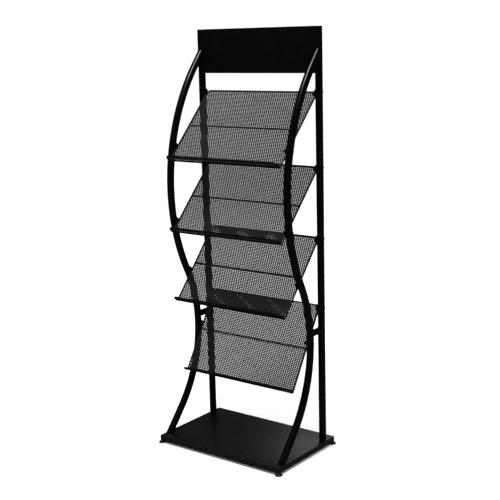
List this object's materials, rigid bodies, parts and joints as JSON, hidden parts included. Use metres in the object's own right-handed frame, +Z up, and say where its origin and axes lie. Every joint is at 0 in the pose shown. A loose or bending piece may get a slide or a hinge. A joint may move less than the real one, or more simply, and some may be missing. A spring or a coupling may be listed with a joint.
{
  "type": "magazine shelf",
  "caption": "Free-standing black steel magazine rack: bent side tubes on a flat base, sloping mesh shelves with an upturned lip, and a bare header panel.",
  "frame": {"origin": "on the floor under the middle of the base", "axes": "+X to the right seen from the front, +Y to the back, +Z up"},
  "size_m": [0.512, 0.334, 1.376],
  "materials": {
    "black_powder_coat": "satin black powder coat",
    "coated_mesh": "satin black powder coat on expanded metal",
    "black_fixing": "black oxide",
    "plain_steel": "plain turned steel",
    "zinc_steel": "bright zinc",
    "black_plastic": "moulded black"
  },
  "bodies": {
    "frame": {"base_bolts": "black_fixing", "base_tray": "black_powder_coat", "corner_bushes": "plain_steel", "front_foot_plugs": "plain_steel", "header_panel": "black_powder_coat", "header_screws": "black_fixing", "left_bridge_stub": "black_powder_coat", "left_front_tube": "black_powder_coat", "left_upright": "black_powder_coat", "left_upright_cap": "black_plastic", "right_bridge_stub": "black_powder_coat", "right_front_tube": "black_powder_coat", "right_upright": "black_powder_coat", "right_upright_cap": "black_plastic", "shelf_1_bolts": "black_fixing", "shelf_1_cross_rod": "black_powder_coat", "shelf_1_mesh": "coated_mesh", "shelf_1_nuts": "black_fixing", "shelf_1_rim": "black_powder_coat", "shelf_1_tabs": "black_powder_coat", "shelf_2_bolts": "black_fixing", "shelf_2_cross_rod": "black_powder_coat", "shelf_2_mesh": "coated_mesh", "shelf_2_nuts": "black_fixing", "shelf_2_rim": "black_powder_coat", "shelf_2_tabs": "black_powder_coat", "shelf_3_bolts": "black_fixing", "shelf_3_cross_rod": "black_powder_coat", "shelf_3_mesh": "coated_mesh", "shelf_3_nuts": "black_fixing", "shelf_3_rim": "black_powder_coat", "shelf_3_tabs": "black_powder_coat", "shelf_4_bolts": "black_fixing", "shelf_4_cross_rod": "black_powder_coat", "shelf_4_mesh": "coated_mesh", "shelf_4_nuts": "black_fixing", "shelf_4_rim": "black_powder_coat", "shelf_4_tabs": "black_powder_coat", "upright_foot_plugs": "plain_steel"},
    "front_left_pad": {"front_left_foot_pad": "black_plastic"},
    "front_left_stud": {"front_left_foot_stud": "zinc_steel"},
    "front_right_pad": {"front_right_foot_pad": "black_plastic"},
    "front_right_stud": {"front_right_foot_stud": "zinc_steel"},
    "rear_left_pad": {"rear_left_foot_pad": "black_plastic"},
    "rear_left_stud": {"rear_left_foot_stud": "zinc_steel"},
    "rear_right_pad": {"rear_right_foot_pad": "black_plastic"},
    "rear_right_stud": {"rear_right_foot_stud": "zinc_steel"}
  },
  "joints": [
    {"name": "front_left_foot_travel", "type": "slide", "parent": "frame", "child": "front_left_pad", "axis": [0, 0, -1], "range_m": [0, 0.008]},
    {"name": "front_left_stud_turn", "type": "hinge", "parent": "front_left_pad", "child": "front_left_stud", "pos_m": [-0.244, -0.155, 0], "axis": [0, 0, -1], "range_deg": [0, 2881]},
    {"name": "front_right_foot_travel", "type": "slide", "parent": "frame", "child": "front_right_pad", "axis": [0, 0, -1], "range_m": [0, 0.008]},
    {"name": "front_right_stud_turn", "type": "hinge", "parent": "front_right_pad", "child": "front_right_stud", "pos_m": [0.244, -0.155, 0], "axis": [0, 0, -1], "range_deg": [0, 2881]},
    {"name": "rear_left_foot_travel", "type": "slide", "parent": "frame", "child": "rear_left_pad", "axis": [0, 0, -1], "range_m": [0, 0.008]},
    {"name": "rear_left_stud_turn", "type": "hinge", "parent": "rear_left_pad", "child": "rear_left_stud", "pos_m": [-0.244, 0.155, 0], "axis": [0, 0, -1], "range_deg": [0, 2881]},
    {"name": "rear_right_foot_travel", "type": "slide", "parent": "frame", "child": "rear_right_pad", "axis": [0, 0, -1], "range_m": [0, 0.008]},
    {"name": "rear_right_stud_turn", "type": "hinge", "parent": "rear_right_pad", "child": "rear_right_stud", "pos_m": [0.244, 0.155, 0], "axis": [0, 0, -1], "range_deg": [0, 2881]}
  ],
  "couplings": [
    {"joint": "front_left_stud_turn", "follows": "front_left_foot_travel", "rad_per_m": 6283.2},
    {"joint": "front_right_stud_turn", "follows": "front_right_foot_travel", "rad_per_m": 6283.2},
    {"joint": "rear_left_stud_turn", "follows": "rear_left_foot_travel", "rad_per_m": 6283.2},
    {"joint": "rear_right_stud_turn", "follows": "rear_right_foot_travel", "rad_per_m": 6283.2}
  ]
}
